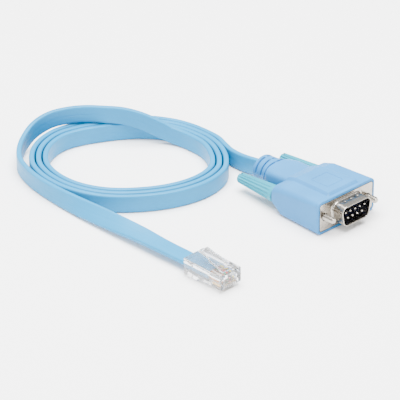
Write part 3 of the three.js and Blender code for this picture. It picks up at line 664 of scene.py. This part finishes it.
def beside_turn(station, places):
    """Points beside the innermost turn at stations round it, so many places further out: along the level normal,
    by the number of places times the spacing there."""
    per_span = 50
    stations = len(COIL_TURN)
    ring = curve_through([p[:2] for p in COIL_TURN], per_span, closed=True)
    ahead = np.roll(ring, -1, 0) - np.roll(ring, 1, 0)
    ahead /= np.linalg.norm(ahead, axis=1, keepdims=True)
    spacing = np.array([p[2] for p in COIL_TURN])
    at = np.asarray(station, float) % stations
    fine = at * per_span
    count = len(ring)
    look = np.arange(count + 1)
    place = np.stack([np.interp(fine, look, np.append(ring[:, k], ring[0, k])) for k in (0, 1)], -1)
    along = np.stack([np.interp(fine, look, np.append(ahead[:, k], ahead[0, k])) for k in (0, 1)], -1)
    distance = places * np.interp(at, np.arange(stations + 1), np.append(spacing, spacing[0]))
    return place + np.stack([along[:, 1], -along[:, 0]], -1) * distance[:, None]


def cable_route():
    """The cable's middle line from boot to plug. In the coil each turn stays beside the innermost one, and moves in
    by one place along the back."""
    stations = len(COIL_TURN)
    step = np.arange(STRANDS * stations * 2 + 1) / 2
    step = np.concatenate([[-LEAD_JOIN], step[:-1], [STRANDS * stations + LEAD_JOIN]])
    turn = np.clip(np.floor(step / stations), 0, STRANDS)
    within = step - turn * stations
    places = STRANDS - turn - np.clip(within / SHIFT_END, 0, 1)
    places = np.clip(places, 0, STRANDS)
    coil = beside_turn(step, places)
    coil = np.column_stack([coil, np.full(len(coil), CABLE_WIDTH / 2)])
    jacket_end = PLUG_LENGTH - PLUG_CAVITY_DEPTH + POCKET_GAP
    in_line = [(0, PLUG_LENGTH + PLUG_STRAIGHT, CABLE_IN_PLUG), (0, jacket_end, CABLE_IN_PLUG)]
    knots = np.concatenate([BOOT_LEAD, coil, PLUG_LEAD, in_plug(np.array(in_line))])
    fine = curve_through(knots, 12)
    length = np.append(0, np.cumsum(np.linalg.norm(np.diff(fine, axis=0), axis=1)))
    even = np.linspace(0, length[-1], int(length[-1]) + 1)
    return np.stack([np.interp(even, length, fine[:, k]) for k in range(3)], -1), length[-1]


def cable_section():
    """The flat section: a rectangle with round edges, its two faces drawn in a little along the middle."""
    half_t, half_w = CABLE_THICKNESS / 2, CABLE_WIDTH / 2
    flat = outline(box_corners(-half_t, half_t, -half_w, half_w), np.array(CABLE_CORNER), arc=6, side=15)
    dip = 0.07 * np.exp(-((flat[:, 1] / 0.35) ** 2))
    flat[:, 0] -= np.sign(flat[:, 0]) * dip
    return flat


def cable(finish):
    """The section carried along the route. Its thickness lies along the level normal and its width along the
    binormal; both turn about the route by a quarter turn before the plug, so that it enters the plug flat."""
    route, length = cable_route()
    ahead = np.gradient(route, axis=0)
    ahead /= np.linalg.norm(ahead, axis=1, keepdims=True)
    level = np.cross((0, 0, 1), ahead)
    level /= np.linalg.norm(level, axis=1, keepdims=True)
    up = np.cross(ahead, level)
    along = np.linspace(0, length, len(route))
    flat_at = length - PLUG_CAVITY_DEPTH - TWIST_END
    lean = -math.pi / 2 * smooth(along, flat_at - TWIST_START + TWIST_END, flat_at)
    c, s = np.cos(lean)[:, None], np.sin(lean)[:, None]
    thick = level * c + up * s
    wide = up * c - level * s
    section = cable_section()
    rings = route[:, None] + thick[:, None] * section[:, :1] + wide[:, None] * section[:, 1:]
    across = np.cumsum(np.linalg.norm(np.roll(section, -1, 0) - section, axis=1)) * MM
    uv = np.stack(np.broadcast_arrays(along[:, None] * MM, across[None, :]), -1).reshape(-1, 2)
    uv = np.concatenate([uv, [[0, 0], [length * MM, 0]]])
    nodes = ("cable_coil", "boot_lead", "plug_lead")
    made = piece("cable", tube(rings), finish, stands_for=nodes, uv=uv)
    return made, in_part(route[::2]), length


# --- the D connector ---


def hood_top(y):
    """The height of the hood's top, which falls slowly and then faster: straight between its breaks."""
    return np.interp(y, *zip(*HOOD_TOP))


def hood_block():
    """The hood's sections along y: a round-edged outline whose top has the raised middle, and whose underside rises
    behind its break. At both ends the outline draws in along a quarter round."""
    front_in, front_back = round_end(HOOD_FRONT_ROUND, 4)
    rear_in, rear_back = round_end(HOOD_REAR_ROUND, 7)
    between = np.array([1.0, 1.55, 1.6, 1.75, 2.0, 2.3, 2.6, 2.75, 2.85, 3.2, 4.5, 7.0, 10.0, 14.0, 18.0, 21.0])
    over = np.array([22.0, 22.3, 22.7, 23.5, 25.0, 26.4])
    y = np.concatenate([front_back, between, over, HOOD_LENGTH - rear_back[::-1]])
    inset = np.concatenate([front_in, 0 * between, 0 * over, rear_in[::-1]])
    top = hood_top(y)
    bottom = np.interp(y, (HOOD_BOTTOM_BREAK[0], HOOD_LENGTH), (0, HOOD_BOTTOM_BREAK[1]))
    rise = np.clip(np.interp(y, PLATEAU_FRONT, (0, PLATEAU_RISE)), 0.002, None)
    half = np.interp(y, (PLATEAU_FRONT[0], HOOD_LENGTH), PLATEAU_HALF_WIDTHS)
    side = np.full(len(y), HOOD_HALF_WIDTH)
    corners = [(-side, bottom), (side, bottom), (side, top), (half, top), (half - PLATEAU_BEVEL, top + rise)]
    corners += [(PLATEAU_BEVEL - half, top + rise), (-half, top), (-side, top)]
    corners = np.stack([np.stack(corner, -1) for corner in corners], -2)
    low = np.full(len(y), HOOD_LOW_RADIUS)
    high = np.interp(y, (0, HOOD_LENGTH), HOOD_HIGH_RADII)
    root = np.full(len(y), PLATEAU_ROOT_RADIUS)
    brow = np.full(len(y), PLATEAU_BROW_RADIUS)
    radii = np.stack([low, low, high, root, brow, brow, root, high], -1)
    return lofted(drawn_in(outline(corners, radii, arc=9, side=14), inset), y)


def boot_skin():
    """The boot: ovals (a C, b S) whose sizes follow the stations; C and S are the cosine and sine with their sizes
    raised to 2 / power. Three slots on each side draw the skin in
    by a depth where y is inside the slot, x is past the spine and z is above the middle."""
    stations = curve_through(BOOT, 10)
    slots = np.array(BOOT_SLOTS)[:, None] + BOOT_SLOT_WIDTH * np.array([-0.62, -0.5, -0.44, 0, 0.44, 0.5, 0.62])
    end_in, end_back = round_end(BOOT_END_ROUND, 6)
    y = np.unique(np.concatenate([np.arange(24.0, 49.4, 0.8), slots.ravel(), BOOT_END - end_back]))
    sizes = [np.interp(y, stations[:, 0], stations[:, k])[:, None] for k in range(1, 5)]
    half_width, half_height, height, power = sizes
    shrink = np.interp(y, np.sort(BOOT_END - end_back), np.sort(end_in), left=0)[:, None]
    angle = np.arange(144) * TURN / 144
    x, z = (np.sign(v) * np.abs(v) ** (2 / power) for v in (np.cos(angle), np.sin(angle)))
    off = np.abs(y[:, None] - np.array(BOOT_SLOTS)) / BOOT_SLOT_WIDTH
    in_slot = (1 - smooth(off, 0.44, 0.52)).sum(1)
    at_side = smooth(np.abs(x) * half_width, BOOT_SPINE, BOOT_SPINE + 0.25) * smooth(z, -0.06, 0.04)
    deep = shrink + BOOT_SLOT_DEPTH * in_slot[:, None] * at_side
    rings = [(half_width - deep) * x, y[:, None], height + (half_height - deep) * z]
    return tube(np.stack(np.broadcast_arrays(*rings), -1))


def panel_line():
    """A plain raised frame on the hood's top: a low round-cornered band, a rectangle's outline swept round it."""
    low_x, high_x, low_y, high_y = PANEL
    outer = outline(box_corners(low_x, high_x, low_y, high_y), 0.8, arc=8, side=10)
    rows = []
    section = (
        (0, -PANEL_ROOT),
        (0, 0.6 * PANEL_RELIEF),
        (0.08, PANEL_RELIEF),
        (PANEL_LINE, PANEL_RELIEF),
        (PANEL_LINE + 0.08, -PANEL_ROOT),
    )
    for inset, lift in section:
        flat = drawn_in(outer[None], np.array([inset]))[0]
        rows.append(np.stack([flat[:, 0], flat[:, 1], hood_top(flat[:, 1]) + PLATEAU_RISE + lift], -1))
    return grid(np.array(rows), close_rows=True)


def screw_hole(side, front, back):
    """A straight hole along a thumbscrew's axis, as a closed rod to cut with."""
    return tube(about_screw(turned([SCREW_HOLE_RADIUS] * 2, [front, back]), side))


def dee_outline(inset, y, arc=10, side=44):
    """The D's outline at distances y: a trapezium with round corners, drawn in by an inset for each row."""
    lean = math.tan(DEE_SIDE_ANGLE)
    wide, tall = DEE_HALF_WIDTH, DEE_HALF_HEIGHT
    narrow = wide - 2 * tall * lean
    corners = np.array([(-narrow, -tall), (narrow, -tall), (wide, tall), (-wide, tall)]) + (0, AXIS_HEIGHT)
    flat = outline(corners, DEE_CORNER, arc=arc, side=side)
    return sections(drawn_in(np.repeat(flat[None], len(y), 0), inset), y)


def shell_skin():
    """The drawn shell as one closed skin: along the inside wall to the rim, round it, back along the outside wall,
    out through a quarter-round root bend to the flange's face, over its edge and back behind it. Three round dents
    press the top wall in: each is a bell curve of the distance from its middle."""
    rim = DEE_WALL / 2
    turn_round = np.linspace(0, math.pi, 9)[1:-1]
    bend = np.linspace(0, math.pi / 2, 8)
    inside = np.array([FLANGE_THICKNESS, 0.4, -1.0, -3.0, -5.0, rim - DEE_PROJECTION])
    outside = np.linspace(rim - DEE_PROJECTION, -DEE_ROOT_BEND - 0.05, 24)
    y = np.concatenate([inside, rim - DEE_PROJECTION - rim * np.sin(turn_round), outside])
    inset = np.concatenate([0 * inside + DEE_WALL, rim + rim * np.cos(turn_round), 0 * outside])
    y = np.concatenate([y, DEE_ROOT_BEND * (np.sin(bend) - 1)])
    inset = np.concatenate([inset, DEE_ROOT_BEND * (np.cos(bend) - 1)])
    wall = dee_outline(inset, y)
    top = wall[..., 2] > AXIS_HEIGHT + DEE_HALF_HEIGHT - DEE_WALL - 0.05
    for x in DIMPLES_X:
        away = (wall[..., 0] - x) ** 2 + (wall[..., 1] - DIMPLE_Y) ** 2
        wall[..., 2] -= top * DIMPLE_DEPTH * np.exp(-away / DIMPLE_SPREAD)
    low = AXIS_HEIGHT - FLANGE_HALF[1]
    high = AXIS_HEIGHT + FLANGE_HALF[1]
    plate = outline(box_corners(-FLANGE_HALF[0], FLANGE_HALF[0], low, high), FLANGE_CORNER, arc=10, side=44)
    edge_in = np.array([0.5, 0.12, 0.03, 0.0, 0.0, 0.1])
    edge_y = np.array([0.0, 0.0, 0.03, 0.12, FLANGE_THICKNESS - 0.1, FLANGE_THICKNESS])
    flange = sections(drawn_in(np.repeat(plate[None], 6, 0), edge_in), edge_y)
    return grid(np.concatenate([wall, flange]), close_rows=True)


def insulator_body():
    """The insulator: the D's inside outline as a solid, its front edge broken by a small round."""
    y = np.array([-INSULATOR_FRONT, -INSULATOR_FRONT + 0.05, -INSULATOR_FRONT + 0.2, INSULATOR_BACK])
    inset = DEE_WALL + 0.1 + np.array([0.2, 0.06, 0.0, 0.0])
    return tube(dee_outline(inset, y))


def pin(low, high):
    """A pin between its box's ends: a straight shank, and a tip that is a quarter ellipse."""
    radius = (high.x - low.x) / MM / 2
    x, z = (low.x + high.x) / 2 / MM, (low.z + high.z) / 2 / MM
    front, back = low.y / MM - FRONT, high.y / MM - FRONT
    angle = np.linspace(0.12, math.pi / 2, 9)
    radii = np.concatenate([radius * np.sin(angle), [radius]])
    y = np.concatenate([front + PIN_TIP * (1 - np.cos(angle)), [back]])
    return tube(turned(radii, y, 28) + (x, 0, z)), (x, z)


def screw_skin(side):
    """A thumbscrew's threaded end: r = R - depth t, where t is a triangle wave of y / pitch - angle / turn. The
    thread fades in behind the chamfered tip and out where the screw enters the flange."""
    y = np.concatenate([np.arange(-SCREW_PROJECTION, 1.6, 0.05), [2.0, SCREW_BACK]])[:, None]
    angle = (np.arange(48) * TURN / 48)[None]
    phase = (y / THREAD_PITCH - angle / TURN) % 1
    groove = THREAD_DEPTH * np.clip(1.25 * np.abs(2 * phase - 1), 0, 1)
    fade = smooth(y, -SCREW_PROJECTION, 0.2 - SCREW_PROJECTION) * (1 - smooth(y, 1.0, 1.6))
    tip = 0.45 * (1 - smooth(y, -SCREW_PROJECTION, 0.7 - SCREW_PROJECTION))
    radius = np.minimum(SCREW_RADIUS - groove * fade, SCREW_RADIUS - tip)
    rings = np.broadcast_arrays(radius * np.cos(angle), y, radius * np.sin(angle))
    return tube(about_screw(np.stack(rings, -1), side))


def knob_skin(side):
    """A handle: a cone with a round at each end and shallow flutes, r = R(y) + f(y) cosine of so many waves."""
    nose_in, nose_back = round_end(KNOB_END_ROUND, 6)
    middle = np.linspace(KNOB_START + 1, KNOB_END - 1, 24)
    y = np.concatenate([KNOB_START + nose_back, middle, KNOB_END - nose_back[::-1]])
    inset = np.concatenate([nose_in, 0 * middle, nose_in[::-1]])
    fade = smooth(y, KNOB_START + 1.2, KNOB_START + 2.6) * (1 - smooth(y, KNOB_END - 1.2, KNOB_END - 0.2))
    ripple = KNOB_FLUTE_DEPTH * fade
    radii = np.interp(y, (KNOB_START, KNOB_END), KNOB_RADII) - inset - ripple
    return tube(about_screw(turned(radii, y, 112, ripple, KNOB_FLUTES), side))


def knob_slot(side):
    """The slot across a handle's end: a flat box along its axis."""
    half = KNOB_SLOT_WIDTH / 2
    y = np.array([KNOB_END - KNOB_SLOT_DEPTH, KNOB_END + 1])
    flat = outline(box_corners(-half, half, -4, 4), 0.1, arc=3, side=2)
    return tube(about_screw(sections(np.repeat(flat[None], 2, 0), y), side))


# --- the plug ---


def plug_skin():
    """The plug's outside: rectangles with round corners along its length. They draw in at the nose and the rear,
    and their lower edge drops over the step."""
    nose_in, nose_back = round_end(NOSE_CHAMFER, 5)
    between = np.array([1.0, 4.0, 8.0, PLUG_STEP[0], PLUG_STEP[1], 16.0, 19.0])
    y = np.concatenate([nose_back, between, PLUG_LENGTH - nose_back[::-1]])
    inset = np.concatenate([nose_in, 0 * between, nose_in[::-1]])
    bottom = np.interp(y, PLUG_STEP, (PLUG_FRONT_BOTTOM, 0))
    corners = box_corners(np.full(len(y), -PLUG_HALF_WIDTH), np.full(len(y), PLUG_HALF_WIDTH), bottom, PLUG_TOP)
    return tube(in_plug(sections(drawn_in(outline(corners, PLUG_CORNER, arc=6, side=6), inset), y)))


def box_skin(low, high, radius=0.15):
    """A box with its long edges rounded, in the plug's frame."""
    flat = outline(box_corners(low[0], high[0], low[2], high[2]), radius, arc=4, side=4)
    return tube(in_plug(sections(np.repeat(flat[None], 2, 0), np.array([low[1], high[1]]))))


def latch_skin():
    """The latch: a flat strip from the nose's top that rises to the rear. Its middle goes up by an eased rise, its
    half width narrows past the middle, and its end is drawn in along a quarter round."""
    end_in, end_back = round_end(LATCH_THICKNESS / 2 - 0.08, 5)
    y = np.concatenate([np.linspace(LATCH_ROOT, LATCH_TIP - 0.6, 26), LATCH_TIP - end_back[::-1]])
    inset = np.concatenate([np.zeros(26), end_in[::-1]])
    share = np.clip((y - LATCH_ROOT - 1.5) / (LATCH_TIP - LATCH_ROOT - 1.5), 0, 1)
    swell = 1 + LATCH_BOW * (1 - share) * share
    middle = PLUG_TOP + 0.1 * LATCH_THICKNESS + (LATCH_RISE + 0.4 * LATCH_THICKNESS) * share * swell
    half = LATCH_HALF_WIDTHS[0] + (LATCH_HALF_WIDTHS[1] - LATCH_HALF_WIDTHS[0]) * smooth(y, 9.5, 11.6)
    corners = box_corners(-half, half, middle - LATCH_THICKNESS / 2, middle + LATCH_THICKNESS / 2)
    return tube(in_plug(sections(drawn_in(outline(corners, 0.42, arc=6, side=8), inset), y)))


def wire_skin(rank):
    """One wire from the jacket's end to the nose: a round section whose middle goes from the cable's spacing to the
    contacts' spacing by an eased step, and dips a little on its way."""
    y = np.linspace(PLUG_LENGTH - WIRE_SLOT_DEPTH + 0.25, PLUG_LENGTH - PLUG_CAVITY_DEPTH + 0.2, 24)
    share = smooth(y, y[0] + 2.2, y[-1])
    x = rank * (WIRE_PITCH + (0.86 - WIRE_PITCH) * share)
    z = (WIRE_SLOT[0] + WIRE_SLOT[1]) / 2 - 0.1 * np.sin(math.pi * share)
    angle = np.arange(20) * TURN / 20
    rings = [x[:, None] + WIRE_RADIUS * np.cos(angle), y[:, None], z[:, None] + WIRE_RADIUS * np.sin(angle)]
    return tube(in_plug(np.stack(np.broadcast_arrays(*rings), -1)))


# --- the build ---


def build_hood(finish):
    """The hood's block and boot in one mesh, with the flange's pocket, the connector's well and the two screw holes
    cut in, and the plain frame on its top."""
    made = piece("hood_moulding", joined([hood_block(), boot_skin()]), finish, stands_for=("hood",))
    half_x, half_z = (half + POCKET_GAP for half in FLANGE_HALF)
    corners = box_corners(-half_x, half_x, AXIS_HEIGHT - half_z, AXIS_HEIGHT + half_z)
    pocket = np.repeat(outline(corners, FLANGE_CORNER + POCKET_GAP)[None], 2, 0)
    pocket = sections(pocket, np.array([-PAST, FLANGE_THICKNESS + POCKET_GAP]))
    well = dee_outline(np.zeros(2), np.array([WELL_FRONT, INSULATOR_BACK + POCKET_GAP]), side=8)
    holes = [screw_hole(side, -2 * PAST, HOOD_LENGTH + 2 * PAST) for side in (-1, 1)]
    cut(made, "hood_openings", [tube(pocket), tube(well), *holes])
    piece("hood_panel_line", panel_line(), finish)


def build_connector(finish):
    """The drawn shell, the nine pins, and the insulator with a pit round each pin."""
    shell = piece("drawn_shell", shell_skin(), finish, stands_for=("connector_shell",))
    cut(shell, "flange_holes", [screw_hole(side, -PAST, 2 * PAST) for side in (-1, 1)])
    dark = moulded("insulator_plastic", INSULATOR_DARK, roughness=0.35)
    insulator = piece("insulator_block", insulator_body(), dark, stands_for=("insulator",))
    metal = plated("pin_plate", PIN_GREY, roughness=0.15)
    pits = []
    for k in range(PINS):
        shape, (x, z) = pin(*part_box(f"pin_{k + 1}"))
        piece(f"round_pin_{k + 1}", shape, metal, stands_for=(f"pin_{k + 1}",))
        pit = turned([PIT_RADIUS, PIT_RADIUS], [-INSULATOR_FRONT - PAST, PIT_DEPTH - INSULATOR_FRONT])
        pits.append(tube(pit + (x, 0, z)))
    cut(insulator, "pin_pits", pits)


def build_thumbscrews(plastic, metal):
    """Both thumbscrews: a slotted handle and a threaded end, each on its own body."""
    for side_name, side in (("left", -1), ("right", 1)):
        body = f"{side_name}_thumbscrew"
        knob = f"{side_name}_knob"
        handle = piece(f"{side_name}_handle", knob_skin(side), plastic, body, (knob,))
        cut(handle, "handle_slot", [knob_slot(side)])
        piece(f"{side_name}_thread", screw_skin(side), metal, body, (f"{side_name}_screw",))


def build_plug():
    """The clear plug with its cavity, its slots, its eight wires and its eight contacts."""
    outside = joined([plug_skin(), latch_skin()])
    plug = piece("plug_moulding", outside, clear(), stands_for=("plug_body",))
    cavity_front = PLUG_LENGTH - PLUG_CAVITY_DEPTH
    half_wires = WIRES / 2 * WIRE_PITCH + WIRE_SLOT_GAP
    openings = [
        box_skin(
            (-PLUG_CAVITY_HALF_WIDTH, cavity_front, PLUG_CAVITY[0]),
            (PLUG_CAVITY_HALF_WIDTH, PLUG_LENGTH + PAST, PLUG_CAVITY[1]),
        ),
        box_skin(
            (-half_wires, PLUG_LENGTH - WIRE_SLOT_DEPTH, WIRE_SLOT[0]),
            (half_wires, cavity_front + 0.5, WIRE_SLOT[1]),
        ),
    ]
    made = [plug]
    for k, (colour_name, colour) in enumerate(WIRE_COLOURS.items()):
        rank = k - (WIRES - 1) / 2
        low = (rank * WIRE_PITCH - CONTACT_SLOT / 2, CONTACT_FRONT, CONTACT_SLOT_BOTTOM)
        high = (rank * WIRE_PITCH + CONTACT_SLOT / 2, CONTACT_BACK, WIRE_SLOT[0] + WIRE_SLOT_GAP)
        openings.append(box_skin(low, high, radius=0.05))
        finish = moulded(f"wire_{colour_name}_insulation", linear(*colour), roughness=0.4)
        made.append(piece(f"inner_wire_{k + 1}", wire_skin(rank), finish, stands_for=(f"wire_{k + 1}",)))
        clothe(f"contact_{k + 1}", plated(f"contact_{k + 1}_gold", CONTACT_GOLD, roughness=0.2))
        made.append(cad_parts[f"contact_{k + 1}"])
    cut(plug, "plug_openings", openings)
    return made


camera()
studio()
flex, flex_path, flex_length = cable(jacket())
nickel = plated("nickel_plate", NICKEL_GREY, roughness=0.18)
build_hood(moulded("hood_plastic", HOOD_BLUE, roughness=0.42))
build_connector(nickel)
build_thumbscrews(moulded("knob_plastic", KNOB_TEAL, roughness=0.36), nickel)
build_plug()
